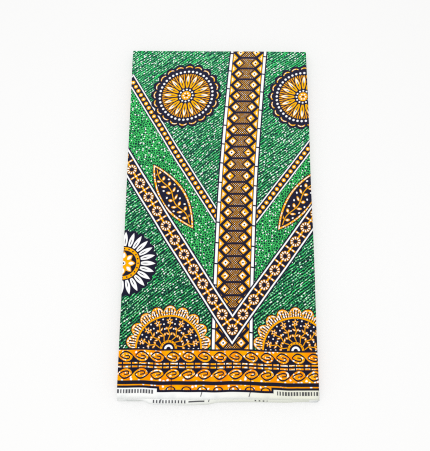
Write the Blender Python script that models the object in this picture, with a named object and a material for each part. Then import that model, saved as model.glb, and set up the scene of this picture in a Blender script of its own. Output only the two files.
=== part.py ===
"""Six yards of ankara cloth, folded in half along its length and then to and fro into a flat pack.

+X runs across the pack, +Y from the selvages to the centre fold, and +Z up from the surface it lies on.
Every size is in metres.
"""

import math

import bmesh
import bpy

# Driving dimensions of the folded pack
PANEL_WIDTH = 0.305  # from one zigzag fold to the next
PACK_LENGTH = 0.590  # from the centre fold to the selvage that sticks out furthest
PACK_HEIGHT = 0.018
WALL = 0.001  # one ply, thickened to what a solid needs
GAP = 0.0003  # between neighbouring pieces
PLY_PITCH = 0.0005  # one ply of the real cloth in the stack
PLIES_IN_FOLD = 4  # a zigzag fold turns a doubled cloth back on itself
PLIES_IN_PANEL = 2

# Turned edges
FOLD_RADIUS = 0.0015
FOLD_NOTCH = 0.0011  # how deep the groove between two zigzag folds is
CENTRE_NOTCH = 0.0006  # and between two centre folds
ARC_STEPS = 3

# The soft waves of the top panel
WAVE_HEIGHT = 0.0005
WAVE_LENGTH_X = 0.23
WAVE_LENGTH_Y = 0.31
DROOP_DEPTH = 0.0014  # the loose selvage side lies a little lower
DROOP_REACH = 0.045

# How far the lower ply's selvage sticks out past the upper one's, across the pack
SELVAGE_STEP = (
    # x, out
    (-0.1525, 0.0012),
    (-0.1180, 0.0020),
    (-0.1000, 0.0080),
    (-0.0550, 0.0085),
    (-0.0180, 0.0075),
    (0.0020, 0.0045),
    (0.0950, 0.0040),
    (0.1350, 0.0022),
    (0.1525, 0.0008),
)
SELVAGE_WAVE = 0.0005
SELVAGE_WAVE_LENGTH = 0.17
STACK_SETBACK = 0.0065  # the hidden selvages lie this far inside the one that sticks out furthest
STACK_RAGGED = 0.0018  # and this far in and out of line
STACK_RAGGED_TURN = 2.4  # turn of that wandering from one ply to the next, in radians
STACK_SHIFT = 0.0006  # the zigzag folds are this far out of line
STACK_SHIFT_TURN = 1.7
BASE_SETBACK = 0.0040

COLUMNS = 12
ROWS = 18

LEFT = -PANEL_WIDTH / 2
RIGHT = PANEL_WIDTH / 2
NEAR = -PACK_LENGTH / 2
FAR = PACK_LENGTH / 2
FACE_SELVAGE = NEAR + max(out for x, out in SELVAGE_STEP)
UNDER_DEPTH = WALL + GAP  # from the top of the face ply to the top of the ply below
STACK_DEPTH = UNDER_DEPTH + WALL + GAP
STACK_FLOOR = WALL + GAP

# Colours of the dyes, as an even mix for each piece
GREEN_PRINT = (0.09, 0.30, 0.14, 1.0)
SELVAGE_WHITE = (0.86, 0.86, 0.82, 1.0)
STACK_EDGES = (0.13, 0.27, 0.15, 1.0)
UNDERSIDE = (0.10, 0.25, 0.14, 1.0)
COTTON_ROUGHNESS = 0.72


def between(low, high, share):
    return low + (high - low) * share


def smooth(share):
    """A soft step from 0 to 1."""
    share = min(max(share, 0.0), 1.0)
    return share * share * (3 - 2 * share)


def selvage_step(x):
    """How far the lower selvage sticks out at x, eased between the rows of the table."""
    for (x0, out0), (x1, out1) in zip(SELVAGE_STEP, SELVAGE_STEP[1:]):
        if x <= x1:
            return between(out0, out1, smooth((x - x0) / (x1 - x0)))
    return SELVAGE_STEP[-1][1]


def face_selvage(x):
    return FACE_SELVAGE + SELVAGE_WAVE * math.sin(2 * math.pi * x / SELVAGE_WAVE_LENGTH)


def under_selvage(x):
    return face_selvage(x) - selvage_step(x)


def top_height(x, y):
    """The upper side of the top panel: soft waves, lower towards the loose selvages."""
    along = math.cos(2 * math.pi * (y / WAVE_LENGTH_Y + 0.5 * x / WAVE_LENGTH_X))
    across = math.cos(2 * math.pi * (x / WAVE_LENGTH_X - 0.3))
    wave = 0.5 * WAVE_HEIGHT * (along + across - 2)
    droop = DROOP_DEPTH * smooth((NEAR + DROOP_REACH - y) / DROOP_REACH)
    return PACK_HEIGHT + wave - droop


def turned_edge(drop):
    """Inset and drop of the points over a turned edge, from its lower end up to the flat."""
    points = [(0.0, drop)]
    for step in range(ARC_STEPS + 1):
        angle = math.pi / 2 * step / ARC_STEPS
        points.append((FOLD_RADIUS * (1 - math.cos(angle)), FOLD_RADIUS * (1 - math.sin(angle))))
    return points


def cotton(name, colour):
    material = bpy.data.materials.new(name)
    material.use_nodes = True
    shader = material.node_tree.nodes["Principled BSDF"]
    shader.inputs["Base Color"].default_value = colour
    shader.inputs["Roughness"].default_value = COTTON_ROUGHNESS
    shader.inputs["Metallic"].default_value = 0.0
    return material


def add_object(name, mesh_data, material):
    mesh = bpy.data.meshes.new(name)
    mesh_data.to_mesh(mesh)
    mesh_data.free()
    mesh.materials.append(material)
    piece = bpy.data.objects.new(name, mesh)
    bpy.context.scene.collection.objects.link(piece)
    return piece


def add_grid(mesh_data, points):
    """Faces over rows of points that run towards +X, the rows towards +Y, so that they face up."""
    rows = [[mesh_data.verts.new(point) for point in row] for row in points]
    for low, high in zip(rows, rows[1:]):
        for i in range(len(low) - 1):
            mesh_data.faces.new((low[i], low[i + 1], high[i + 1], high[i]))
    return rows


def ply(name, points, material):
    """One wall of cloth that hangs below a grid of points on its upper side."""
    mesh_data = bmesh.new()
    add_grid(mesh_data, points)
    piece = add_object(name, mesh_data, material)
    wall = piece.modifiers.new("wall", "SOLIDIFY")
    wall.thickness = WALL
    wall.offset = -1
    wall.use_even_offset = True
    piece.data.shade_smooth()
    piece.data.set_sharp_from_angle(angle=math.radians(40))
    return piece


def face_ply():
    """The top ply: flat to its cut end on the right, turned down at the left and the far edge."""
    turned = turned_edge(UNDER_DEPTH + WALL)
    flat_left = LEFT + FOLD_RADIUS
    across = [(LEFT + inset, drop) for inset, drop in turned]
    across += [(between(flat_left, RIGHT, i / COLUMNS), 0.0) for i in range(1, COLUMNS + 1)]
    flat_far = FAR - FOLD_RADIUS
    points = []
    for i in range(ROWS):
        row = []
        for x, drop in across:
            y = between(face_selvage(x), flat_far, i / ROWS)
            row.append((x, y, top_height(x, y) - drop))
        points.append(row)
    for inset, far_drop in reversed(turned):
        y = FAR - inset
        points.append([(x, y, top_height(x, y) - max(drop, far_drop)) for x, drop in across])
    return ply("face_ply", points, cotton("face_print", GREEN_PRINT))


def under_ply():
    """The ply under it, inside the turned edges, with the selvage that sticks out."""
    low_x = LEFT + FOLD_RADIUS
    high_y = FAR - FOLD_RADIUS
    points = []
    for i in range(ROWS + 1):
        row = []
        for j in range(COLUMNS + 1):
            x = between(low_x, RIGHT - 2 * GAP, j / COLUMNS)
            y = between(under_selvage(x), high_y, i / ROWS)
            row.append((x, y, top_height(x, y) - UNDER_DEPTH))
        points.append(row)
    return ply("under_ply", points, cotton("selvage_white", SELVAGE_WHITE))


def base_ply():
    """The lowest ply, flat on the surface."""
    points = []
    for i in range(2):
        row = []
        for j in range(COLUMNS + 1):
            x = between(LEFT + STACK_SHIFT, RIGHT - STACK_SHIFT, j / COLUMNS)
            selvage = NEAR + BASE_SETBACK + SELVAGE_WAVE * math.cos(2 * math.pi * x / SELVAGE_WAVE_LENGTH)
            row.append((x, between(selvage, FAR - STACK_SHIFT, i), WALL))
        points.append(row)
    return ply("base_ply", points, cotton("under_print", UNDERSIDE))


def stack_edges(level):
    """The left, right and far edges of the stack where ply number level starts."""
    left_fold = abs(math.cos(math.pi * level / PLIES_IN_FOLD))
    right_fold = abs(math.sin(math.pi * level / PLIES_IN_FOLD))
    centre_fold = abs(math.sin(math.pi * level / PLIES_IN_PANEL))
    out_of_line = STACK_SHIFT * math.sin(STACK_SHIFT_TURN * level)
    left = LEFT + STACK_SHIFT + FOLD_NOTCH * (1 - left_fold) + out_of_line
    right = RIGHT - STACK_SHIFT - FOLD_NOTCH * (1 - right_fold) + out_of_line
    far = FAR - STACK_SHIFT - CENTRE_NOTCH * (1 - centre_fold)
    return left, right, far


def stack_selvage(x, level):
    """The near edge of ply number level: each selvage wanders in and out of line by itself."""
    turn = STACK_RAGGED_TURN * level + 2 * math.pi * x / SELVAGE_WAVE_LENGTH
    return NEAR + STACK_SETBACK + STACK_RAGGED * math.sin(turn)


def stack_point(level, levels, share_x, share_y):
    left, right, far = stack_edges(level)
    x = between(left, right, share_x)
    y = between(stack_selvage(x, level), far, share_y)
    return x, y, between(top_height(x, y) - STACK_DEPTH, STACK_FLOOR, level / levels)


def around(grid):
    """The outer points of a grid in order, anticlockwise seen from above."""
    right = [row[-1] for row in grid[1:-1]]
    left = [row[0] for row in grid[-2:0:-1]]
    return grid[0] + right + grid[-1][::-1] + left


def fold_stack():
    """The hidden panels: one solid with a ring of points for each ply round its edges."""
    levels = round((PACK_HEIGHT - STACK_DEPTH - STACK_FLOOR) / PLY_PITCH)
    shares = [[(j / COLUMNS, i / ROWS) for j in range(COLUMNS + 1)] for i in range(ROWS + 1)]
    mesh_data = bmesh.new()
    top = add_grid(mesh_data, [[stack_point(0, levels, *share) for share in row] for row in shares])
    floor_points = [[stack_point(levels, levels, *share) for share in row] for row in shares]
    floor = add_grid(mesh_data, floor_points[::-1])[::-1]
    rings = [around(top)]
    for level in range(1, levels):
        rings.append([mesh_data.verts.new(stack_point(level, levels, *share)) for share in around(shares)])
    rings.append(around(floor))
    for upper, lower in zip(rings, rings[1:]):
        for i in range(len(upper)):
            j = (i + 1) % len(upper)
            mesh_data.faces.new((lower[i], lower[j], upper[j], upper[i]))
    return add_object("fold_stack", mesh_data, cotton("stack_edges", STACK_EDGES))


def main():
    for old in list(bpy.data.objects):
        bpy.data.objects.remove(old, do_unlink=True)
    face_ply()
    under_ply()
    fold_stack()
    base_ply()


main()
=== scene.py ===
import math

import bmesh
import bpy
from mathutils import Matrix, Vector


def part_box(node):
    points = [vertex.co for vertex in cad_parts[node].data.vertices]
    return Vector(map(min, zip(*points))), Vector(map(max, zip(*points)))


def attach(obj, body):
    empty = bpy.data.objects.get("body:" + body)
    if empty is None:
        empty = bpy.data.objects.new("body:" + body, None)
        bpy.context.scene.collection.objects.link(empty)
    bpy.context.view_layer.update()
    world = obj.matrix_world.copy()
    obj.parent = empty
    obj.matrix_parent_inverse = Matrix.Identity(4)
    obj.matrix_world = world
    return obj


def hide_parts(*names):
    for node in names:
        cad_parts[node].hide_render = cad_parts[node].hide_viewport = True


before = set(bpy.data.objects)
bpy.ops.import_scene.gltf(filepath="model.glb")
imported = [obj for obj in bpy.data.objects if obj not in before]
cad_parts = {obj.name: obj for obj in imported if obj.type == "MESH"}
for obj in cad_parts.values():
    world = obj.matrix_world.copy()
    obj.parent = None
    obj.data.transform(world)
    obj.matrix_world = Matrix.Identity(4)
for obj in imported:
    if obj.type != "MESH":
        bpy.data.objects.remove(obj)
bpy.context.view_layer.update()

# The pack, read from the frame, and the cloth that it is folded from
FACE_LOW, FACE_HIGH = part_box("face_ply")
UNDER_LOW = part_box("under_ply")[0]
LEFT = FACE_LOW[0]
RIGHT = FACE_HIGH[0]
FAR = FACE_HIGH[1]
NEAR = UNDER_LOW[1]
TOP = FACE_HIGH[2]
PANEL_WIDTH = RIGHT - LEFT
PANELS = 18
CLOTH_WIDTH = 1.17
HALF_WIDTH = CLOTH_WIDTH / 2
CLOTH_THICKNESS = 0.00034

# The doubled cloth in the stack: panels 1 mm apart, their two plies half as far
PANEL_PITCH = TOP / PANELS
PLY_OFFSET = PANEL_PITCH / 4
FOLD_MID = PANEL_PITCH / 2
CENTRE_RADIUS = PLY_OFFSET

# How much cloth a zigzag fold and the centre fold take up
FOLD_ARC = 2.4 * PANEL_PITCH
CENTRE_ARC = 0.0012

# Shares of a panel: the strips along its folds, and what the top sheets take of the second panel
EDGE_SHARE = 0.015
OVERHANG = 0.05

# Shares of the half width: the rims along its edges, the second ply's sheet, and the strip of it that shows
RIM_SHARE = 0.012
UNDER_SHARE = 0.97
SELVAGE_SHARE = 0.05

# The soft waves of the top panel, as its solid has them
WAVE_HEIGHT = 0.0005
WAVE_LENGTH_X = 0.23
WAVE_LENGTH_Y = 0.31
WAVE_LEAN = 0.5
WAVE_START = 0.3
DROOP_DEPTH = 0.0014
DROOP_REACH = 0.045

# How far the lower ply's selvage sticks out past the upper one's, across the pack
SELVAGE_STEP = (
    # x, out
    (-0.1525, 0.0012),
    (-0.1180, 0.0020),
    (-0.1000, 0.0080),
    (-0.0550, 0.0085),
    (-0.0180, 0.0075),
    (0.0020, 0.0045),
    (0.0950, 0.0040),
    (0.1350, 0.0022),
    (0.1525, 0.0008),
)
SELVAGE_WAVE = 0.0005
SELVAGE_WAVE_LENGTH = 0.17
FACE_SELVAGE = NEAR + max(out for x, out in SELVAGE_STEP)
STACK_SETBACK = 0.0065
STACK_RAGGED = 0.0018
STACK_RAGGED_TURN = 2.4

# Soft creases that the cloth keeps from being handled
CREASES = (
    # x, y, angle in degrees, half length, half width, depth
    (-0.06, 0.115, 4, 0.120, 0.010, 0.00030),
    (0.07, -0.020, -7, 0.100, 0.013, 0.00035),
    (-0.03, -0.175, 3, 0.130, 0.009, 0.00030),
    (0.095, 0.180, 84, 0.090, 0.008, 0.00025),
    (-0.105, -0.080, 93, 0.110, 0.011, 0.00030),
    (0.03, -0.262, -2, 0.110, 0.008, 0.00040),
)

CREASE_MEANDER = 0.004
CREASE_MEANDER_LENGTH = 0.03

# How far each zigzag fold lies inside the top panel's edge, in millimetres, and how much it runs out of true
FOLD_SETBACKS = (0.0, 0.9, 0.5, 1.6, 1.3, 0.4, 0.8, 1.9, 0.3, 1.1, 1.7, 0.6, 1.0, 1.5, 0.7, 0.2, 1.2)
FOLD_SKEW = 0.0016
FOLD_SKEW_TURN = 5.1

# The same for the centre folds at the far edge and for the two cut ends on the right
CENTRE_SETBACK = 0.0009
CENTRE_TURN = 2.9
CUT_END = 0.0006
CUT_WAVE = 0.0003
CUT_WAVE_LENGTH = 0.037
LAST_END = 0.0012


def between(low, high, share):
    return low + (high - low) * share


def smooth(share):
    """A soft step from 0 to 1."""
    share = min(max(share, 0.0), 1.0)
    return share * share * (3 - 2 * share)


def selvage_step(x):
    for (x0, out0), (x1, out1) in zip(SELVAGE_STEP, SELVAGE_STEP[1:]):
        if x <= x1:
            return between(out0, out1, smooth((x - x0) / (x1 - x0)))
    return SELVAGE_STEP[-1][1]


def face_selvage(x):
    return FACE_SELVAGE + SELVAGE_WAVE * math.sin(2 * math.pi * x / SELVAGE_WAVE_LENGTH)


def selvage(panel, lower, x):
    """Where a ply's selvage lies. Those below the first panel wander in and out of line, each by itself."""
    if panel == 0:
        return face_selvage(x) - (selvage_step(x) if lower else 0.0)
    turn = STACK_RAGGED_TURN * (2 * panel + lower) + 2 * math.pi * x / SELVAGE_WAVE_LENGTH
    return NEAR + STACK_SETBACK + STACK_RAGGED * math.sin(turn)


def crease_depth(x, y):
    """How deep the handling creases are at a place on the top panel."""
    depth = 0.0
    for x0, y0, degrees, half_length, half_width, deep in CREASES:
        turn = math.radians(degrees)
        along = (x - x0) * math.cos(turn) + (y - y0) * math.sin(turn)
        across = (y - y0) * math.cos(turn) - (x - x0) * math.sin(turn)
        across += CREASE_MEANDER * math.sin(along / CREASE_MEANDER_LENGTH)
        fade = smooth(1 - abs(along) / half_length)
        depth += deep * fade * math.exp(-((across / half_width) ** 2))
    return depth


def settle(x, y, z):
    """Lowers a point of the flat stack to where the waves, the droop and the creases leave it."""
    along = math.cos(2 * math.pi * (y / WAVE_LENGTH_Y + WAVE_LEAN * x / WAVE_LENGTH_X))
    across = math.cos(2 * math.pi * (x / WAVE_LENGTH_X - WAVE_START))
    wave = 0.5 * WAVE_HEIGHT * (along + across - 2)
    droop = DROOP_DEPTH * smooth((NEAR + DROOP_REACH - y) / DROOP_REACH)
    share = z / TOP
    return z + share * (wave - droop) - crease_depth(x, y) * share ** 6


def fold_place(fold, y):
    """The outermost x of a zigzag fold. The even folds are on the left."""
    skew = FOLD_SKEW * math.sin(FOLD_SKEW_TURN * fold) * y / HALF_WIDTH
    inset = FOLD_SETBACKS[fold] / 1000 + abs(skew) + (skew if fold else 0.0)
    return LEFT + inset if fold % 2 == 0 else RIGHT - inset


def panel_ends(panel, y):
    """Where a panel starts and ends across the pack, without its folds' round edges."""
    if panel == 0:
        start = RIGHT - CUT_END - CUT_WAVE * math.sin(y / CUT_WAVE_LENGTH)
    else:
        start = fold_place(panel - 1, y) + (PANEL_PITCH if panel % 2 else -PANEL_PITCH)
    if panel == PANELS - 1:
        return start, RIGHT - LAST_END
    return start, fold_place(panel, y) + (PANEL_PITCH if panel % 2 == 0 else -PANEL_PITCH)


def cloth_point(panel, share, turn, ply, along):
    """A point of the folded cloth.

    share runs over a panel from 0 to 1 and turn over the zigzag fold after it, from 0 to 1. ply is 0 on the
    upper half of the cloth and 1 on the lower, and between them round the centre fold. along is 0 at the
    selvage and 1 at the centre fold.
    """
    centre_turn = math.pi * ply
    offset = PLY_OFFSET * math.cos(centre_turn)
    height = TOP - PANEL_PITCH * (panel + 0.5)
    far = FAR - CLOTH_THICKNESS / 2 - CENTRE_RADIUS - CENTRE_SETBACK * abs(math.sin(CENTRE_TURN * panel))
    rough_x = between(*panel_ends(panel, 0.0), share)
    low_y = selvage(panel, ply > 0.5, rough_x)
    y = between(low_y, far, along) + CENTRE_RADIUS * math.sin(centre_turn)
    start, end = panel_ends(panel, y)
    if turn == 0:
        x = between(start, end, share)
        z = height + (offset if panel % 2 == 0 else -offset)
    else:
        side = -1 if panel % 2 == 0 else 1
        radius = FOLD_MID - side * offset
        angle = math.pi * (0.5 - turn)
        x = end + side * radius * math.cos(angle)
        z = height - FOLD_MID + radius * math.sin(angle)
    return x, y, settle(x, y, z)


def print_place(panel, share, turn, ply, along):
    """Where that point is on the flat cloth: along it, 0 in the middle of the first panel, and across it."""
    before = panel * (PANEL_WIDTH + FOLD_ARC)
    along_cloth = PANEL_WIDTH / 2 - before - share * PANEL_WIDTH - turn * FOLD_ARC
    from_selvage = along * (HALF_WIDTH - CENTRE_ARC / 2)
    if ply == 1:
        return along_cloth, CLOTH_WIDTH - from_selvage
    return along_cloth, from_selvage + ply * CENTRE_ARC


def panel_stations(panel, steps, fold_steps, start=0.0, stop=1.0):
    """Stations over one panel and the fold after it, as (panel, share, turn)."""
    shares = {between(start, stop, i / steps) for i in range(steps + 1)}
    shares |= {share for share in (EDGE_SHARE, 1 - EDGE_SHARE) if start < share < stop}
    stations = [(panel, share, 0.0) for share in sorted(shares)]
    if stop == 1.0 and panel < PANELS - 1:
        stations += [(panel, 1.0, i / fold_steps) for i in range(1, fold_steps)]
    return stations


def width_stations(steps, fold_steps):
    """Stations over the width as (ply, along), from the upper selvage round the centre fold to the lower."""
    places = sorted({i / steps for i in range(steps + 1)} | {RIM_SHARE, 1 - RIM_SHARE})
    upper = [(0, place) for place in places]
    lower = [(1, place) for place in reversed(places)]
    return upper + [(i / fold_steps, 1.0) for i in range(1, fold_steps)] + lower


# The map that the closing bake fills, in areas of left, foot, right and top. The print, alike on both sides,
# gets most of it, and the cut rims get a strip above.
MAP_START = 0.002
MAP_END = 0.998
PRINT_TOP = 0.965
PRINT_AREA = (MAP_START, MAP_START, MAP_END, PRINT_TOP)
UNDER_SELVAGE_AREA = (MAP_START, MAP_START, MAP_END, 0.470)
UNDER_REST_AREA = (MAP_START, 0.475, MAP_END, PRINT_TOP)
HIDDEN_AREA = (MAP_START, 0.935, MAP_END, PRINT_TOP)
FOLDS_END = 0.500
EDGES_START = 0.510
STACK_TOP = 0.930
UPPER_SELVAGE_BAND = (0.04, 0.24)
CENTRE_FOLD_BAND = (0.28, 0.72)
LOWER_SELVAGE_BAND = (0.76, 0.96)
RIM_FOOT = 0.970
RIM_COLUMNS = 180
RIM_PITCH = 0.0052
RIM_CELL = 0.0045
RIM_CORNERS = ((0, 0), (1, 0), (1, 1), (0, 1))


def bounds_of(across, width):
    """The stretch of flat cloth between the first and the last stations."""
    return (*print_place(*across[0], *width[0]), *print_place(*across[-1], *width[-1]))


def face_strip(column, row, across, width):
    return bounds_of(across, width), PRINT_AREA


def under_strip(column, row, across, width):
    """Half of the map goes to the selvage, the only stretch of this ply that shows."""
    near = [station for station in width if station[1] <= SELVAGE_SHARE]
    far = [station for station in width if station[1] >= SELVAGE_SHARE]
    if max(along for ply, along in row) <= SELVAGE_SHARE:
        return bounds_of(across, near), UNDER_SELVAGE_AREA
    return bounds_of(across, far), UNDER_REST_AREA


def stack_strip(column, row, across, width):
    """Nearly all of the map goes to the folds and edges that show at the sides of the stack."""
    panel, share = column[0][:2]
    next_share = column[1][1]
    (ply, along), (next_ply, next_along) = row
    starts_fold = share >= 1 - EDGE_SHARE
    fold = panel if starts_fold else panel - 1
    level = ply == next_ply
    if (starts_fold or next_share <= EDGE_SHARE) and level and ply == fold % 2:
        before = print_place(fold, 1 - EDGE_SHARE, 0, ply, 0)
        after = print_place(fold + 1, EDGE_SHARE, 0, ply, 1)
        pitch = FOLDS_END / (PANELS - 1)
        left = (fold - 1) * pitch
        return (*before, *after), (left + MAP_START, MAP_START, left + pitch - MAP_START, STACK_TOP)
    start = print_place(panel, 0, 0, 0, 0)[0]
    stop = print_place(panel + 1, 0, 0, 0, 0)[0]
    rim = RIM_SHARE * HALF_WIDTH
    if not level or min(along, next_along) >= 1 - RIM_SHARE:
        source = (start, HALF_WIDTH - rim, stop, HALF_WIDTH + rim)
        low, high = CENTRE_FOLD_BAND
    elif max(along, next_along) > RIM_SHARE:
        return bounds_of(across, width), HIDDEN_AREA
    elif ply == 0:
        source = (start, 0, stop, rim)
        low, high = UPPER_SELVAGE_BAND
    else:
        source = (start, CLOTH_WIDTH - rim, stop, CLOTH_WIDTH)
        low, high = LOWER_SELVAGE_BAND
    pitch = STACK_TOP / (PANELS - 1)
    foot = (panel - 1) * pitch
    return source, (EDGES_START, foot + pitch * low, MAP_END, foot + pitch * high)


def lay_bake_map(mesh, across, width, strip):
    """Gives each face its place in the closing bake's map. strip says where a stretch of the print goes."""
    mesh.uv_layers.new(name="OFBake")
    cloth = mesh.uv_layers["cloth"].uv
    baked = mesh.uv_layers["OFBake"].uv
    columns = len(across) - 1
    quads = columns * (len(width) - 1)
    for face in mesh.polygons:
        if face.index >= 2 * quads:
            row, column = divmod(face.index - 2 * quads, RIM_COLUMNS)
            for loop, (right, up) in zip(face.loop_indices, RIM_CORNERS):
                u = column / RIM_COLUMNS + right * RIM_CELL
                baked[loop].vector = (u, RIM_FOOT + row * RIM_PITCH + up * RIM_CELL)
            continue
        row, column = divmod(face.index % quads, columns)
        source, target = strip(across[column : column + 2], width[row : row + 2], across, width)
        for loop in face.loop_indices:
            x, y = cloth[loop].vector
            u = between(target[0], target[2], (x - source[0]) / (source[2] - source[0]))
            v = between(target[1], target[3], (y - source[1]) / (source[3] - source[1]))
            baked[loop].vector = (u, v)


def cloth_mesh(name, across, width, strip):
    """A stretch of the folded cloth as a thin shell, with its places on the flat cloth as a UV map."""
    mesh_data = bmesh.new()
    layer = mesh_data.loops.layers.uv.new("cloth")
    grid = []
    places = {}
    for ply, along in width:
        row = []
        for panel, share, turn in across:
            vertex = mesh_data.verts.new(cloth_point(panel, share, turn, ply, along))
            places[vertex] = print_place(panel, share, turn, ply, along)
            row.append(vertex)
        grid.append(row)
    for low, high in zip(grid, grid[1:]):
        for i in range(len(low) - 1):
            face = mesh_data.faces.new((low[i], high[i], high[i + 1], low[i + 1]))
            face.smooth = True
            for loop in face.loops:
                loop[layer].uv = places[loop.vert]
    mesh = bpy.data.meshes.new(name)
    mesh_data.to_mesh(mesh)
    mesh_data.free()
    piece = bpy.data.objects.new(name, mesh)
    bpy.context.scene.collection.objects.link(piece)
    bpy.ops.object.select_all(action="DESELECT")
    piece.select_set(True)
    bpy.context.view_layer.objects.active = piece
    shell = piece.modifiers.new("thickness", "SOLIDIFY")
    shell.thickness = CLOTH_THICKNESS
    shell.offset = 0
    bpy.ops.object.modifier_apply(modifier=shell.name)
    lay_bake_map(piece.data, across, width, strip)
    return piece


# Shader maths, written as expressions


class Shade:
    """A value that varies over the cloth. Arithmetic on it adds Math nodes."""

    def __init__(self, tree, socket):
        self.tree = tree
        self.socket = socket

    def __add__(self, other):
        return self.tree.math("ADD", self, other)

    __radd__ = __add__

    def __sub__(self, other):
        return self.tree.math("SUBTRACT", self, other)

    def __rsub__(self, other):
        return self.tree.math("SUBTRACT", other, self)

    def __mul__(self, other):
        return self.tree.math("MULTIPLY", self, other)

    __rmul__ = __mul__

    def __neg__(self):
        return self.tree.math("MULTIPLY", self, -1.0)

    def __abs__(self):
        return self.tree.math("ABSOLUTE", self)

    def __gt__(self, other):
        return self.tree.math("GREATER_THAN", self, other)

    def __lt__(self, other):
        return self.tree.math("LESS_THAN", self, other)


class Recipe:
    """A material's node tree."""

    def __init__(self, name):
        self.material = bpy.data.materials.new(name)
        self.material.use_nodes = True
        self.tree = self.material.node_tree
        self.tree.nodes.clear()

    def add(self, kind, settings=None, values=None):
        """Any node: its settings are set first, then its sockets' values or links, by name or number."""
        node = self.tree.nodes.new(kind)
        for key, setting in (settings or {}).items():
            setattr(node, key, setting)
        for key, value in (values or {}).items():
            socket = node.inputs[key]
            if isinstance(value, Shade):
                self.tree.links.new(value.socket, socket)
            else:
                socket.default_value = value
        return node

    def out(self, node, key=0):
        return Shade(self, node.outputs[key])

    def math(self, operation, *values):
        return self.out(self.add("ShaderNodeMath", {"operation": operation}, dict(enumerate(values))))

    def root(self, value):
        return self.math("SQRT", value)

    def sine(self, value):
        return self.math("SINE", value)

    def cosine(self, value):
        return self.math("COSINE", value)

    def floor(self, value):
        return self.math("FLOOR", value)

    def least(self, *values):
        found = values[0]
        for value in values[1:]:
            found = self.math("MINIMUM", found, value)
        return found

    def most(self, *values):
        found = values[0]
        for value in values[1:]:
            found = self.math("MAXIMUM", found, value)
        return found

    def wrapped(self, value, pitch):
        """The distance to the nearest multiple of pitch, with its sign."""
        return self.math("WRAP", value, pitch / 2, -pitch / 2)

    def reach(self, x, y):
        """The length of (x, y)."""
        return self.root(self.math("MULTIPLY_ADD", x, x, y * y))

    def ink(self, distance, soft=0.3):
        """How much dye there is at a distance in millimetres outside a shape's edge, below 0 inside it."""
        settings = {"operation": "MULTIPLY_ADD", "use_clamp": True}
        return self.out(self.add("ShaderNodeMath", settings, {0: distance, 1: -0.5 / soft, 2: 0.5}))

    def vector(self, x, y, z=0.0):
        return self.out(self.add("ShaderNodeCombineXYZ", None, {0: x, 1: y, 2: z}))

    def noise(self, place, scale, key="Fac"):
        values = {"Vector": place, "Scale": scale, "Detail": 1.0}
        return self.out(self.add("ShaderNodeTexNoise", {"noise_dimensions": "2D"}, values), key)

    def chance(self, x, y):
        """A number from 0 to 1 that is drawn anew for each whole x and y."""
        settings = {"noise_dimensions": "2D"}
        return self.out(self.add("ShaderNodeTexWhiteNoise", settings, {"Vector": self.vector(x, y)}))

    def scaled(self, colour, amount):
        node = self.add("ShaderNodeVectorMath", {"operation": "SCALE"}, {0: colour, "Scale": amount})
        return self.out(node)

    def wander(self, place, scale, amount):
        """A drift to either side, of up to half the amount."""
        return (self.noise(place, scale) - 0.5) * amount

    def blotches(self, place, scale, level, spread):
        """Distance outside blotches where the noise is above a level. spread turns it into millimetres."""
        return (level - self.noise(place, scale)) * spread

    def bent(self, place, scale, amount):
        """A place moved by up to half the amount, so that what is drawn there loses its even shape."""
        shift = self.scaled(self.noise(place, scale, "Color"), amount)
        return self.out(self.add("ShaderNodeVectorMath", {"operation": "ADD"}, {0: place, 1: shift}))

    def cells(self, place, scale, key="Distance", feature="F1"):
        settings = {"voronoi_dimensions": "2D", "feature": feature}
        node = self.add("ShaderNodeTexVoronoi", settings, {"Vector": place, "Scale": scale})
        return self.out(node, key)

    def paint(self, ground, dye, mask):
        """A colour with another over it where the mask is 1."""
        node = self.add("ShaderNodeMix", {"data_type": "RGBA"}, {0: mask, 6: ground, 7: dye})
        return self.out(node, 2)


# Dyes, as the cloth shows them in plain light, with the painted haze and painted shade that some of them
# turn to
NAVY = (0.0120, 0.0113, 0.0256, 1.0)
# Painted haze: the lighter, bluer navy that the far end of the cloth turns to
PAINTED_HAZE_NAVY = (0.0168, 0.0175, 0.0390, 1.0)
# Painted haze: the lighter bead colour that the far end of the cloth turns to
PAINTED_HAZE_BOTTLE = (0.0120, 0.0260, 0.0320, 1.0)
BOTTLE = (0.0045, 0.0110, 0.0125, 1.0)
EMBER = (0.95, 0.265, 0.0002, 1.0)
ORANGE = (0.95, 0.340, 0.0002, 1.0)
GOLD = (0.95, 0.385, 0.0004, 1.0)
AMBER = (0.97, 0.410, 0.0002, 1.0)
STRAW = (0.97, 0.740, 0.240, 1.0)
WHITE = (0.95, 0.95, 0.95, 1.0)
LEAF_GREEN = (0.070, 0.550, 0.165, 1.0)
# Painted haze: the lighter ground green that the far end of the cloth turns to
PAINTED_HAZE_GREEN = (0.030, 0.150, 0.105, 1.0)
HATCH_GREEN = (0.018, 0.225, 0.075, 1.0)
DEEP_GREEN = (0.010, 0.078, 0.052, 1.0)
SHADE_GREEN = (0.008, 0.042, 0.032, 1.0)
NET_GREEN = (0.065, 0.600, 0.130, 1.0)
VIVID_GREEN = (0.030, 0.620, 0.130, 1.0)
MINT = (0.34, 0.84, 0.44, 1.0)
FOAM = (0.84, 0.97, 0.82, 1.0)
SELVAGE_WHITE = (0.89, 0.90, 0.88, 1.0)
SELVAGE_CREAM = (0.80, 0.81, 0.69, 1.0)
# Painted shade of the selvage edges
SELVAGE_PAINTED_SHADE = (0.52, 0.56, 0.58, 1.0)

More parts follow.
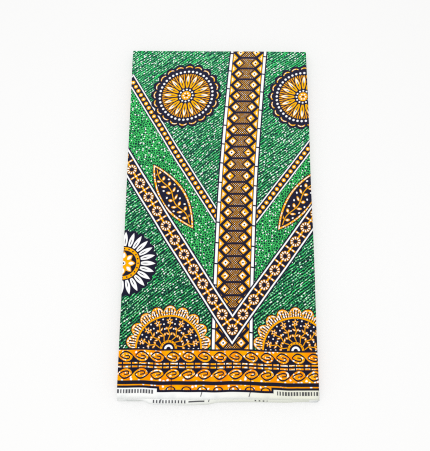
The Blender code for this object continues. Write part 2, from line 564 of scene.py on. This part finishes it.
# The print in millimetres: a runs along the cloth from the middle of the first panel, b in from the selvage
AXIS = 21.6
HALF_REPEAT = 197.0
TICK_ROW_PITCH = 348.0
TICK_ROW_PLACE = 146.6
TICK_ROW_HALF_LENGTH = 87.5
DEEPER_PANELS = -170.0
PRINT_START = 1.0
PRINT_LEAN = 0.00009
PRINT_WAVER = 5.0
PRINT_DIP = 1.8
DIP_PLACE = 45.0
DIP_REACH = 60.0
# Painted light: how much lighter the far end of the cloth is made
FAR_PAINTED_LIGHT = 0.34
BORDER_START = -2.0
LOWER_BORDER_START = 59.0
BORDER_TOP = 74.0
FIELD_TOP = 71.4
FIELD_FOOT = 26.5
STRIPE_FOOT = 20.9
TICK_ROW_TOP = 17.5
STRIP_FOOT = 12.3
SCROLL_PITCH = 24.0
BORDER_MIDDLE = 49.35
ARM_SLOPE = 1.46
ARM_FOOT = 103.0
ARM_HALF_WIDTH = 15.0
CHAIN_PITCH = 28.7
CHEVRON_FOOT = 238.0
COLUMN_HALF_WIDTH = 34.4
COLUMN_SQUEEZE = 1.03
COLUMN_ROW = 20.8
MEDALLION_PLACE = (101.0, 500.0)
ROSETTE_PLACE = (-177.0, 206.0)
GARDEN_PLACE = (98.0, 74.0)
ALMOND_PLACE = (106.0, 318.0)


# The motifs of the print, with their sizes in millimetres


def band(value, middle, half_width):
    """Distance outside a band."""
    return abs(value - middle) - half_width


def polar(r, x, y):
    """Distance and angle round (0, 0)."""
    return r.reach(x, y), r.math("ARCTAN2", y, x)


def on_cloth(r):
    """Where a place is on the flat cloth: along it from the middle of the first panel, and across it."""
    uv = r.add("ShaderNodeUVMap", {"uv_map": "cloth"})
    parts = r.add("ShaderNodeSeparateXYZ", None, {0: r.out(uv)})
    return r.out(parts, 0) * 1000, r.out(parts, 1) * 1000


def beads(r, radius, angle, count, ring, size):
    """Distance outside a ring of round beads."""
    step = 2 * math.pi / count
    sweep = r.wrapped(angle, step) * ring
    return r.reach(radius - ring, sweep) - size


def petals(r, radius, angle, count, inner, outer, half_width):
    """Distance outside a ring of pointed petals."""
    step = 2 * math.pi / count
    sweep = abs(r.wrapped(angle, step) * radius)
    along = (radius - (inner + outer) / 2) * (2 / (outer - inner))
    return sweep - half_width * (1 - along * along)


def small_leaf(r, along, aside, lean, half_width):
    """Distance outside a leaf, twice as long as wide, that leans off its stem."""
    x = along * math.cos(lean) + aside * math.sin(lean)
    y = aside * math.cos(lean) - along * math.sin(lean)
    return r.reach(x * 0.50, y) - half_width


def hatch_ground(r, a, b, place):
    """Green strokes that rise to the right, each a little off its line, with dark beads and white dashes."""
    turn = math.radians(40)
    pitch = 3.9
    bend = r.wander(place, scale=0.009, amount=8)
    waver = r.wander(place, scale=0.11, amount=2.6)
    along = a * math.cos(turn) + b * math.sin(turn)
    across = (b * math.cos(turn) - a * math.sin(turn) + bend + waver) * (1 / pitch)
    line = r.floor(across + 0.5)
    gap = r.floor(across)

    stroke_length = 10
    drift = 2.4
    stroke = r.floor(along * (1 / stroke_length) + r.chance(line, 2.0) * 5)
    glow = r.chance(line, stroke)
    aside = (r.chance(stroke, line) - 0.5) * drift
    off_line = abs((across - line) * pitch - aside)
    off_gap = abs(across - gap - 0.5) * pitch

    bead_along = along * (0.16 + 0.26 * r.chance(gap, 6.0)) + r.chance(gap, 3.0) * 7
    bead = r.floor(bead_along)
    bead_size = 0.22 + 0.30 * r.chance(gap, bead)
    bead_height = 0.95 + 0.65 * r.chance(bead, gap)
    from_bead = (abs(bead_along - bead - 0.5) - bead_size) * 3.5
    beads_ink = r.ink(r.most(from_bead, off_gap - bead_height), 0.25)

    dash_along = along * (0.12 + 0.12 * r.chance(line, 9.0)) + r.chance(line, 8.0) * 7
    dash = r.floor(dash_along)
    luck = r.chance(line, dash)
    from_dash = (abs(dash_along - dash - 0.5) - 0.12 - 0.18 * r.chance(dash, line)) * 5.5
    dash_ink = r.ink(r.most(from_dash, off_line - 0.68), 0.3)

    blotch = r.noise(place, 0.05)
    # Towards the far end the ground and the beads turn to painted haze, the lines widen and the pale dashes
    # come more often
    line_edge = off_line - 0.45 * blotch - 0.3 * r.far * r.far
    ground_in_painted_haze = r.paint(DEEP_GREEN, PAINTED_HAZE_GREEN, r.far)
    colour = r.paint(ground_in_painted_haze, HATCH_GREEN, r.ink(line_edge - 0.70, 0.4))
    colour = r.paint(colour, LEAF_GREEN, r.ink(line_edge - 0.48 + 0.6 * (glow < 0.3), 0.3))
    colour = r.paint(colour, VIVID_GREEN, r.ink(line_edge - 0.40, 0.3) * (glow > 0.72))
    colour = r.paint(colour, r.paint(BOTTLE, PAINTED_HAZE_BOTTLE, r.far), beads_ink)
    colour = r.paint(colour, MINT, dash_ink * (luck > 0.44 - 0.14 * r.far))
    return r.paint(colour, FOAM, dash_ink * (luck > 0.84 - 0.16 * r.far))


def dotted_ground(r, place, specks):
    """A bright green net over dark spots, with white dots scattered over it."""
    mesh_size = 4.0
    bent = r.bent(place, scale=0.2, amount=2.2)
    edge = r.cells(bent, 1 / mesh_size, feature="DISTANCE_TO_EDGE") * mesh_size
    shade = r.noise(place, 0.07)
    colour = r.paint(SHADE_GREEN, HATCH_GREEN, r.ink(edge - 0.34 - 0.50 * shade, 0.3))
    colour = r.paint(colour, NET_GREEN, r.ink(edge - 0.14 - 0.50 * shade, 0.3))
    return r.paint(colour, WHITE, specks)


def white_specks(r, place, pitch, size, share):
    """White spots where the wax has cracked off, one in some of the cells."""
    bent = r.bent(place, scale=0.3, amount=1.4)
    distance = r.cells(bent, 1 / pitch) * pitch
    luck = r.out(r.add("ShaderNodeSeparateColor", None, {0: r.cells(bent, 1 / pitch, "Color")}))
    return (luck > 1 - share) * r.ink(distance - size * (0.4 + luck), 0.35)


def faded(r, colour, distance):
    """A dye that goes through straw to white where the distance falls below 0."""
    pale = r.paint(colour, STRAW, r.ink(distance - 0.5, 0.6))
    return r.paint(pale, WHITE, r.ink(distance + 0.1, 0.4))


def running_scroll(r, a, up):
    """Scrolls that run along the border. up is the distance from its middle.

    A band of orange slopes down from the field outside the row and passes under the pointed left end of a
    scroll. It turns up round the right end and winds into the middle between two navy lines. What lies under
    it is navy. Returns how much orange there is, how much navy line is over it, and how much is the scroll.
    """
    tip = -8.6
    foot_x = 2.0
    x = r.math("WRAP", a, tip + SCROLL_PITCH, tip)
    y = up - 13.8
    on_left = x < foot_x
    slope = r.cosine((x + SCROLL_PITCH * on_left) * (math.pi / (SCROLL_PITCH + foot_x))) * 7.2 - 1.3
    crown = r.cosine(x * (0.5 * math.pi / tip)) * 5.9
    top = slope + (crown - slope) * on_left
    round_end = (r.reach((x - foot_x) * (1 / 9), r.least(y + 1.5, 0.0) * (1 / 7)) - 1) * 7
    body = round_end + (slope - y - round_end) * on_left

    top_line = abs(y - top) * 0.8 - r.least((tip + SCROLL_PITCH - x) * 0.19, 1.05)
    curl_x = x - 4.2
    low = abs(y + 4.7 - 0.035 * (x - 3) * (x - 3)) * 0.85
    curl = abs(r.reach(curl_x, y + 2.4) - 2.25)
    end = abs(y + 0.15 + 0.12 * curl_x)
    left_part = r.most(low, curl_x)
    right_part = r.most(curl, -curl_x)
    inner_line = r.least(left_part, right_part, r.most(end, curl_x, 0.6 - x)) - 0.95
    orange = r.ink(r.least(top - y, body))
    return orange, r.ink(r.least(top_line, inner_line)), r.ink(y - top)


def border(r, colour, a, b, place, lower, deep):
    """The border: two rows of scrolls with dashes between, a stripe, a strip of arcs, and the selvage.

    lower is 1 on the lower half of the cloth, and deep is 1 below the first panel.
    """
    warmth = r.blotches(place, scale=0.06, level=0.50, spread=20)
    base = r.paint(EMBER, AMBER, r.ink(warmth, 5.0))
    patches = r.blotches(place, scale=0.23, level=0.655, spread=14)
    mottled = faded(r, base, patches)
    up = abs(b - BORDER_MIDDLE)
    orange, scroll_line, scroll = running_scroll(r, a, up)

    dash_a = a - 3.0
    long_one = r.cosine(dash_a * (2 * math.pi / SCROLL_PITCH)) > 0
    dash_end = abs(r.wrapped(dash_a, SCROLL_PITCH / 2)) - 4.1 - 1.6 * long_one
    dash = r.most(band(up, middle=2.6, half_width=1.15), dash_end)
    dash_heart = r.blotches(r.vector(a, b * 2), scale=0.16, level=0.60, spread=12)

    off_row = abs(r.wrapped(a - AXIS - TICK_ROW_PLACE, TICK_ROW_PITCH)) - TICK_ROW_HALF_LENGTH
    strip_edge = r.least(TICK_ROW_TOP - b, r.most(STRIP_FOOT - b, -off_row))
    arc = r.reach(r.wrapped(a + 1.5, SCROLL_PITCH) * 0.7, b - 13.6) - 4.6
    arc_ink = r.ink(r.most(abs(arc) - 0.85, b - 21.4))
    hairline_pitch = SCROLL_PITCH * 5
    hairline = abs(r.wrapped(a + 72.6, hairline_pitch)) - 0.65

    specks = white_specks(r, place, pitch=6.2, size=1.35, share=0.45)
    speckled = r.paint(base, WHITE, specks)
    field = r.paint(speckled, mottled, scroll)
    field = r.paint(r.navy, field, orange)
    field = r.paint(field, r.navy, r.ink(hairline) * r.ink(17.5 - up))
    field = r.paint(field, r.navy, scroll_line)
    field = r.paint(field, faded(r, base, dash_heart), r.ink(dash))
    strip = r.paint(speckled, r.navy, r.most(arc_ink, r.ink(hairline)))

    cloth = selvage_cloth(r, a, b, place, off_row, lower, deep)
    cloth = r.paint(cloth, r.navy, r.ink(strip_edge - 1.8))
    cloth = r.paint(cloth, strip, r.ink(strip_edge + 1.6))
    cloth = r.paint(cloth, r.navy, r.ink(STRIPE_FOOT - b))
    cloth = r.paint(cloth, field, r.ink(FIELD_FOOT - b))
    cloth = r.paint(cloth, r.navy, r.ink(FIELD_TOP - b))
    return r.paint(colour, cloth, r.ink(b - BORDER_TOP))


def selvage_cloth(r, a, b, place, off_row, lower, deep):
    """The bare selvage, creamy to the right, with painted shade along its edge, over the lower ply and over
    the panels under the top one, and with ticks, strokes, dots and a bar.

    off_row is how far a place is outside the stretches that hold the row of ticks, below 0 inside them.
    """
    cream = r.ink(40.0 - r.wrapped(a, 2 * HALF_REPEAT), 60.0)
    # Painted shade: grey blotches near the edge, grey along the rounded edge, over the lower ply where the
    # upper one shades it, and over the panels under the top one
    shade_blotches = r.blotches(place, scale=0.07, level=0.60, spread=20)
    blotchy_shade = r.ink(shade_blotches, 2.5) * r.ink(b - 7.0, 3.0) * 0.3
    edge_and_under_shade = r.most(r.ink(b - 2.4, 2.4) * 0.55, lower * 0.25) * (0.25 + 0.75 * cream)
    shade = r.most(blotchy_shade, edge_and_under_shade, deep * 0.5)
    colour = r.paint(r.paint(SELVAGE_WHITE, SELVAGE_CREAM, cream), SELVAGE_PAINTED_SHADE, shade)
    tick_pitch = 4.3
    tick_x = a * (1 / tick_pitch)
    tick_width = 0.22 + 0.16 * r.chance(r.floor(tick_x), 5.0)
    from_tick = (abs(tick_x - r.floor(tick_x) - 0.5) - tick_width) * tick_pitch
    tick = r.most(from_tick, band(b, middle=10.8, half_width=2.9), off_row + 7.0)

    # Marks of the lower selvage alone
    low_pitch = 300.0
    low_x = r.wrapped(a + 14.0, low_pitch)
    low_row = r.most(band(b, middle=4.9, half_width=2.2), abs(low_x) - 25.0)
    dot_row = r.most(band(b, middle=3.3, half_width=0.9), band(low_x, middle=137.0, half_width=11.0))
    low_tick = r.most(abs(r.wrapped(a, 4.7)) - 1.1, low_row)
    low_bar = r.most(band(b, middle=4.9, half_width=1.1), band(low_x, middle=41.0, half_width=12.0))
    low_dot = r.most(abs(r.wrapped(a, 6.1)) - 1.2, dot_row)
    low_mark = r.least(low_tick, low_bar, low_dot) + 9.0 * (1 - lower)

    stroke_pitch = 73.0
    from_stroke = abs(r.wrapped(a + 29.0 - 0.3 * b, stroke_pitch)) - 0.75
    stroke = r.most(from_stroke, band(b, middle=8.0, half_width=4.0), -off_row)
    return r.paint(colour, r.navy, r.ink(r.least(tick, low_mark, stroke), 0.45) * 0.9)


def chain_arm(r, colour, arm, along):
    """The chain of beaded rings and crosses between white lines."""
    flat = abs(arm)
    s = r.wrapped(along, CHAIN_PITCH)
    radius, angle = polar(r, s, arm)
    ring = band(radius, middle=6.0, half_width=2.4)
    step = math.pi / 5
    notch = 0.85 - abs(r.wrapped(angle + step / 2, step) * radius)
    pearl = r.reach((radius - 6.1) * 0.62, r.wrapped(angle, step) * 6.1) - 1.0
    from_cross = CHAIN_PITCH / 2 - abs(s)
    link = r.most(flat - 1.35, from_cross - 6.2, 1.6 - from_cross)
    bar = r.most(band(flat, middle=5.8, half_width=3.6), from_cross - 1.35)
    bar_white = r.most(band(flat, middle=5.6, half_width=1.6), from_cross - 0.9)
    hub = r.reach(from_cross, arm)
    orange = r.least(r.most(ring, notch - 0.25), link, bar, hub - 2.0)
    colour = r.paint(colour, r.navy, r.ink(flat - ARM_HALF_WIDTH))
    colour = r.paint(colour, WHITE, r.ink(band(flat, middle=11.6, half_width=1.15)))
    colour = r.paint(colour, GOLD, r.ink(orange))
    return r.paint(colour, WHITE, r.ink(r.least(pearl, bar_white, hub - 1.25)))


def beaded_stripe(r, colour, across, along):
    """A navy stripe between white lines, with a row of orange beads."""
    bead_pitch = 9.6
    bead = r.reach(r.wrapped(along, bead_pitch), across)
    flat = abs(across)
    colour = r.paint(colour, r.navy, r.ink(flat - 8.6))
    colour = r.paint(colour, WHITE, r.ink(band(flat, middle=6.6, half_width=0.95)))
    colour = r.paint(colour, GOLD, r.ink(bead - 3.3))
    return r.paint(colour, WHITE, r.ink(bead - 1.3))


def column(r, colour, side, x, b, place):
    """The upright band of lozenges between broken white bars."""
    x = x * COLUMN_SQUEEZE
    inside = 26.4 - x
    q = abs(r.wrapped(b, COLUMN_ROW))
    e = COLUMN_ROW / 2 - q
    lozenge = (abs(inside - 12.1) + q) * (1 / 6.9)
    triangle = inside * (1 / 8.4) + e * (1 / 8.8)
    hourglass = r.most(x - 13.0, (x - 3.9 - q) * 0.71, 1.7 - e)
    knot_pitch = 3.7
    knots = r.reach(r.wrapped(x - q, knot_pitch), r.wrapped(x + q, knot_pitch)) - 1.15
    half_white = r.blotches(r.vector(side, b), scale=0.16, level=0.42, spread=12)
    break_pitch = 34.0
    from_break = abs(r.wrapped(b + side * 0.1, break_pitch))
    bar = r.most(band(x, middle=30.0, half_width=2.1), 1.2 - from_break)
    colour = r.paint(colour, r.navy, r.ink(x - COLUMN_HALF_WIDTH))
    colour = r.paint(colour, WHITE, r.ink(bar))
    orange = r.least((lozenge - 1) * 5.6, r.most((triangle - 1) * 6.8, -inside))
    colour = r.paint(colour, GOLD, r.ink(orange))
    lozenge_white = r.most((lozenge - 0.66) * 5.6, half_white)
    triangle_white = r.most((triangle - 0.62) * 6.8, 1.7 - inside, half_white - 1.0)
    colour = r.paint(colour, WHITE, r.ink(r.least(lozenge_white, triangle_white), 0.4))
    dots = r.least((lozenge - 0.26) * 5.6, r.reach(inside - 3.4, e) - 0.7)
    colour = r.paint(colour, r.navy, r.ink(dots))
    threads = r.paint(GOLD, WHITE, r.ink(r.blotches(place, scale=0.5, level=0.635, spread=14)))
    weave = r.paint(r.navy, threads, r.ink(knots * 0.71, 0.25))
    return r.paint(colour, weave, r.ink(hourglass))


def medallion(r, colour, x, b, mottle):
    """A round flower: a scalloped navy plate, a ring of beads, sixteen petals and a dotted eye."""
    radius, angle = polar(r, x - MEDALLION_PLACE[0], b - MEDALLION_PLACE[1])
    lobe = abs(r.cosine(angle * 10))
    plate = radius - 56.0 - 5.0 * lobe
    rim = r.most(band(radius - 3.6 * lobe, middle=51.5, half_width=1.0), (0.42 - lobe) * 4)
    pearls = beads(r, radius, angle, 40, ring=45.3, size=1.9)
    rays = (0.1 - r.cosine(angle * 64)) * 2
    colour = r.paint(colour, r.navy, r.ink(plate))
    colour = r.paint(colour, GOLD, r.ink(rim))
    colour = r.paint(colour, WHITE, r.ink(rim + 0.4) * mottle)
    colour = r.paint(colour, ORANGE, r.ink(rays, 1.0) * r.ink(r.most(radius - 41.0, 16.0 - radius)))
    long_petals = petals(r, radius, angle, 16, inner=12.0, outer=41.5, half_width=3.6)
    petal_hearts = petals(r, radius, angle, 16, inner=24.0, outer=38.0, half_width=1.9)
    petal_veins = petals(r, radius, angle, 16, inner=17.0, outer=34.0, half_width=0.8)
    colour = r.paint(colour, r.navy, r.ink(long_petals - 1.7))
    colour = r.paint(colour, GOLD, r.ink(long_petals))
    colour = r.paint(colour, WHITE, r.ink(petal_hearts))
    colour = r.paint(colour, r.navy, r.ink(petal_veins))
    colour = r.paint(colour, WHITE, r.ink(pearls))
    colour = r.paint(colour, r.navy, r.ink(radius - 15.0))
    colour = r.paint(colour, WHITE, r.ink(beads(r, radius, angle, 12, ring=11.2, size=1.5)))
    colour = r.paint(colour, ORANGE, r.ink(radius - 8.2))
    colour = r.paint(colour, WHITE, r.ink(beads(r, radius, angle, 6, ring=4.6, size=1.3)))
    return r.paint(colour, r.navy, r.ink(radius - 1.8))


def rosette(r, colour, side, b):
    """A daisy of white petals on a navy plate, with an orange ring and a small flower in it."""
    rosette_x = r.wrapped(side - ROSETTE_PLACE[0], 2 * HALF_REPEAT)
    radius, angle = polar(r, rosette_x, b - ROSETTE_PLACE[1])
    plate = radius - 51.0 - 3.5 * abs(r.cosine(angle * 12))
    daisy_petals = petals(r, radius, angle, 24, inner=24.0, outer=51.0, half_width=3.6)
    daisy_veins = petals(r, radius, angle, 24, inner=29.0, outer=41.0, half_width=0.7)
    flower_petals = petals(r, radius, angle, 8, inner=3.0, outer=19.0, half_width=4.8)
    flower_hearts = petals(r, radius, angle, 8, inner=8.0, outer=17.0, half_width=2.4)
    colour = r.paint(colour, r.navy, r.ink(plate))
    colour = r.paint(colour, WHITE, r.ink(daisy_petals))
    colour = r.paint(colour, r.navy, r.ink(daisy_veins))
    colour = r.paint(colour, r.navy, r.ink(radius - 28.0))
    colour = r.paint(colour, GOLD, r.ink(band(radius, middle=23.4, half_width=2.6)))
    colour = r.paint(colour, r.navy, r.ink(beads(r, radius, angle, 20, ring=23.4, size=1.3)))
    colour = r.paint(colour, GOLD, r.ink(flower_petals))
    colour = r.paint(colour, WHITE, r.ink(flower_hearts))
    colour = r.paint(colour, WHITE, r.ink(radius - 3.4))
    return r.paint(colour, r.navy, r.ink(radius - 1.5))


def garden(r, colour, x, b, mottle):
    """A half-round garden that stands on the border: leafy stems on navy inside a ribbed orange frill."""
    radius, angle = polar(r, x - GARDEN_PLACE[0], b - GARDEN_PLACE[1])
    lobes = 9
    fold = r.math("WRAP", angle * (lobes / math.pi), 1.0, 0.0)
    frill = radius - 55.0 - 11.0 * r.root(r.most(r.sine(fold * math.pi), 0.0))
    ribs = r.sine(angle * (lobes * 10))
    rib_ink = r.ink(ribs * 2 + 0.3, 0.9) * r.ink(r.most(frill + 3.2, 51.5 - radius))
    colour = r.paint(colour, r.navy, r.ink(frill - 2.0))
    colour = r.paint(colour, GOLD, r.ink(frill))
    colour = r.paint(colour, WHITE, r.ink(frill + 1.2) * mottle * r.ink(52.0 - radius))
    colour = r.paint(colour, r.navy, rib_ink)
    colour = r.paint(colour, r.navy, r.ink(radius - 49.0))

    stems = 7
    step = math.pi / stems
    sweep = (r.math("WRAP", angle, step, 0.0) - step / 2) * radius
    sway = sweep - 1.3 * r.sine(radius * (2 * math.pi / 17))
    flat = abs(sway)
    leaf_r = r.wrapped(radius, 8.5) + 2.4
    leaf = small_leaf(r, leaf_r, flat - 3.0, lean=0.85, half_width=1.35)
    leaf = r.most(leaf, 18.0 - radius)
    stem = r.most(flat - 0.65, 14.0 - radius)
    flower_x, flower_turn = polar(r, radius - 43.0, sweep)
    flower = flower_x - 3.4 - 1.5 * r.cosine(flower_turn * 5)
    inside = r.ink(radius - 48.0)
    colour = r.paint(colour, GOLD, r.ink(r.most(r.least(stem, leaf), radius - 40.0)))
    colour = r.paint(colour, GOLD, r.ink(flower) * inside)
    pale = r.ink(r.least(flower + 2.0, leaf + 0.7)) * inside * r.most(mottle, 0.4)
    colour = r.paint(colour, WHITE, pale)
    colour = r.paint(colour, r.navy, r.ink(flower_x - 1.2) * inside)
    berry_sweep = (r.math("WRAP", angle + step / 2, step, 0.0) - step / 2) * radius
    berries = r.most(r.reach(r.wrapped(radius - 1.0, 7.5), berry_sweep) - 1.15, 26.0 - radius)
    colour = r.paint(colour, WHITE, r.ink(berries) * inside)
    colour = r.paint(colour, GOLD, r.ink(band(radius, middle=11.5, half_width=1.6)))
    colour = r.paint(colour, r.navy, r.ink(beads(r, radius, angle, 16, ring=11.5, size=0.8)))
    return r.paint(colour, WHITE, r.ink(band(radius, middle=5.0, half_width=1.6)))


def almond(r, colour, x, b, mottle):
    """A navy almond along the arm, outlined in orange, with a leafy stem in it."""
    turn = math.atan(ARM_SLOPE)
    dx = x - ALMOND_PLACE[0]
    dy = b - ALMOND_PLACE[1]
    s = dx * math.cos(turn) + dy * math.sin(turn)
    t = dy * math.cos(turn) - dx * math.sin(turn)
    half_length = 68
    half_width = 22.0
    near_end = s * (1 / half_length)
    body = abs(t) - half_width * (1 - near_end * near_end)
    sway = t - 2.8 * r.sine(s * (2 * math.pi / 52))
    flat = abs(sway)
    leaf_s = r.wrapped(s, 13.0)
    leaf = small_leaf(r, leaf_s + 4.0, flat - 5.0, lean=0.9, half_width=2.1)
    berries = r.reach(leaf_s - 3.5, flat - 10.5) - 1.5
    inside = r.ink(body + 7.0)
    colour = r.paint(colour, r.navy, r.ink(body))
    colour = r.paint(colour, GOLD, r.ink(band(body, middle=-3.2, half_width=1.5)))
    colour = r.paint(colour, WHITE, r.ink(band(body, middle=-3.2, half_width=0.9)) * mottle)
    colour = r.paint(colour, GOLD, r.ink(r.least(flat - 0.7, leaf)) * inside)
    return r.paint(colour, WHITE, r.ink(r.least(leaf + 1.1, berries)) * inside)


def printed(r):
    """The whole print as one colour."""
    along, across = on_cloth(r)
    lower = across > CLOTH_WIDTH * 500
    b = r.least(across, CLOTH_WIDTH * 1000 - across)
    a = along + PRINT_START - b * b * PRINT_LEAN
    waver = r.wander(r.vector(a, 3.0), scale=0.016, amount=PRINT_WAVER)
    b = b + waver + PRINT_DIP * r.ink(DIP_PLACE - a, DIP_REACH)
    place = r.vector(a, b)
    side = r.wrapped(a - AXIS, 2 * HALF_REPEAT)
    x = abs(side)
    far = b * (1 / (HALF_WIDTH * 1000))
    r.far = far
    # The navy turns to painted haze towards the far end
    r.navy = r.paint(NAVY, PAINTED_HAZE_NAVY, far)
    mottle = r.ink(r.blotches(place, scale=0.30, level=0.52, spread=12), 0.6)
    specks = white_specks(r, place, pitch=5.2, size=0.85, share=0.45)

    steep = math.sqrt(1 + ARM_SLOPE ** 2)
    arm = (b - ARM_FOOT - x * ARM_SLOPE) * (1 / steep)
    arm_along = (x + (b - ARM_FOOT) * ARM_SLOPE) * (1 / steep)
    chevron = (b - CHEVRON_FOOT - x * ARM_SLOPE) * (1 / steep)
    chevron_along = (x + (b - CHEVRON_FOOT) * ARM_SLOPE) * (1 / steep)

    hatch = hatch_ground(r, a, b, place)
    elsewhere = r.vector(a + 37, b + 11)
    hatch = r.paint(hatch, WHITE, white_specks(r, elsewhere, pitch=17.0, size=0.9, share=0.5))
    colour = r.paint(hatch, dotted_ground(r, place, specks), r.ink(r.most(-arm, chevron)))
    colour = garden(r, colour, x, b, mottle)
    colour = rosette(r, colour, side, b)
    colour = almond(r, colour, x, b, mottle)
    colour = beaded_stripe(r, colour, chevron, chevron_along)
    colour = medallion(r, colour, x, b, mottle)
    colour = column(r, colour, side, x, b, place)
    colour = chain_arm(r, colour, arm, arm_along)
    # deep marks the panels under the first one, whose selvages get painted shade
    deep = r.ink(a - DEEPER_PANELS, 4.0)
    border_a = a + BORDER_START + (LOWER_BORDER_START - BORDER_START) * lower
    colour = border(r, colour, border_a, b, place, lower, deep)

    # Painted light: the far end of the cloth is made lighter, as if lit more brightly there, but never
    # lighter than its white
    painted_far_light = r.scaled(colour, 1 + FAR_PAINTED_LIGHT * far * (0.5 + 0.5 * far))
    return r.out(r.add("ShaderNodeVectorMath", {"operation": "MINIMUM"}, {0: painted_far_light, 1: WHITE[:3]}))


def weave_height(r):
    """Threads of the plain weave, with slubs."""
    a, b = on_cloth(r)
    thread_pitch = 0.62
    slub_scale = 1.3
    slub_stretch = 0.12
    thread = 2 * math.pi / thread_pitch
    weave = r.sine(a * thread) * r.sine(b * thread)
    warp_slub = r.noise(r.vector(a * slub_stretch, b), slub_scale)
    weft_slub = r.noise(r.vector(a, b * slub_stretch), slub_scale)
    return weave * 0.5 + (warp_slub + weft_slub)


def printed_cotton(name):
    r = Recipe(name)
    colour = printed(r)
    height = weave_height(r)
    bump = r.add("ShaderNodeBump", None, {"Strength": 0.12, "Distance": 0.0002, "Height": height})
    values = {
        "Base Color": colour,
        "Normal": r.out(bump),
        "Roughness": 0.55,
        "Specular IOR Level": 0.015,
    }
    shader = r.add("ShaderNodeBsdfPrincipled", None, values)
    r.add("ShaderNodeOutputMaterial", None, {"Surface": r.out(shader)})
    return r.material


def dress(piece, material, nodes):
    piece.data.materials.append(material)
    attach(piece, "root")
    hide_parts(*nodes)


def make_cloth():
    """The cloth in the stretches that show, all cut from one folded length."""
    cotton = printed_cotton("printed_cotton")
    first = panel_stations(0, steps=56, fold_steps=10)
    first += panel_stations(1, steps=4, fold_steps=10, stop=OVERHANG)
    whole_width = width_stations(steps=100, fold_steps=8)
    face_width = [(ply, along) for ply, along in whole_width if ply < 1 or along >= UNDER_SHARE]
    under_width = [(ply, along) for ply, along in whole_width if ply == 1 and along <= UNDER_SHARE]
    face = cloth_mesh("face_ply_cloth", first, face_width, face_strip)
    dress(face, cotton, ["face_ply"])
    under = cloth_mesh("under_ply_cloth", first, under_width, under_strip)
    dress(under, cotton, ["under_ply"])
    hidden = panel_stations(1, steps=10, fold_steps=8, start=OVERHANG)
    for panel in range(2, PANELS):
        hidden += panel_stations(panel, steps=11, fold_steps=8)
    stack_width = width_stations(steps=16, fold_steps=6)
    stack = cloth_mesh("folded_panels", hidden, stack_width, stack_strip)
    dress(stack, cotton, ["fold_stack", "base_ply"])


def make_stage():
    bpy.ops.object.select_all(action="DESELECT")
    bpy.ops.mesh.primitive_plane_add(size=8.0, location=(0, 0, 0))
    floor = bpy.context.object
    floor.name = "table_top"
    r = Recipe("pale_table")
    values = {
        "Base Color": (0.45, 0.45, 0.448, 1.0),
        "Roughness": 0.8,
        "Specular IOR Level": 0.0,
        "Emission Color": (1.0, 1.0, 0.992, 1.0),
        "Emission Strength": 0.488,
    }
    shader = r.add("ShaderNodeBsdfPrincipled", None, values)
    r.add("ShaderNodeOutputMaterial", None, {"Surface": r.out(shader)})
    floor.data.materials.append(r.material)


def make_light():
    world = bpy.data.worlds.new("studio")
    bpy.context.scene.world = world
    world.use_nodes = True
    backdrop = world.node_tree.nodes["Background"]
    backdrop.inputs["Color"].default_value = (1.0, 1.0, 1.0, 1.0)
    backdrop.inputs["Strength"].default_value = 0.78
    lamp = bpy.data.lights.new("softbox", "AREA")
    lamp.shape = "RECTANGLE"
    lamp.size = 1.6
    lamp.size_y = 1.2
    lamp.energy = 9.3
    softbox = bpy.data.objects.new("softbox", lamp)
    softbox.location = (-0.10, -0.20, 1.48)
    softbox.rotation_euler = (-Vector(softbox.location)).to_track_quat("-Z", "Y").to_euler()
    bpy.context.scene.collection.objects.link(softbox)
    bpy.context.scene.view_settings.view_transform = "Standard"


def make_camera():
    """The photograph's view: almost from above, from the selvage side."""
    data = bpy.data.cameras.new("camera")
    camera = bpy.data.objects.new("camera", data)
    bpy.context.scene.collection.objects.link(camera)
    bpy.context.scene.camera = camera
    elevation = math.radians(77.0)
    distance = 0.8147
    focal_pixels = 504.0
    image_width, image_height = 430, 451
    data.sensor_fit = "AUTO"
    data.sensor_width = 36.0
    data.lens = focal_pixels * data.sensor_width / max(image_width, image_height)
    back = Vector((0, -math.cos(elevation), math.sin(elevation)))
    aim = Vector((-0.0063, -0.0195, TOP))
    camera.location = aim + back * distance
    turned = (-back).to_track_quat("-Z", "Y").to_matrix().to_4x4()
    roll = Matrix.Rotation(math.radians(0.365), 4, "Z")
    camera.rotation_euler = (turned @ roll).to_euler()


def set_film():
    """Keeps the fine print crisp: the denoiser would smear its lines, and the usual filter is too soft."""
    settings = bpy.context.scene.cycles
    settings.use_denoising = False
    settings.filter_width = 1.1


make_camera()
set_film()
make_cloth()
make_stage()
make_light()
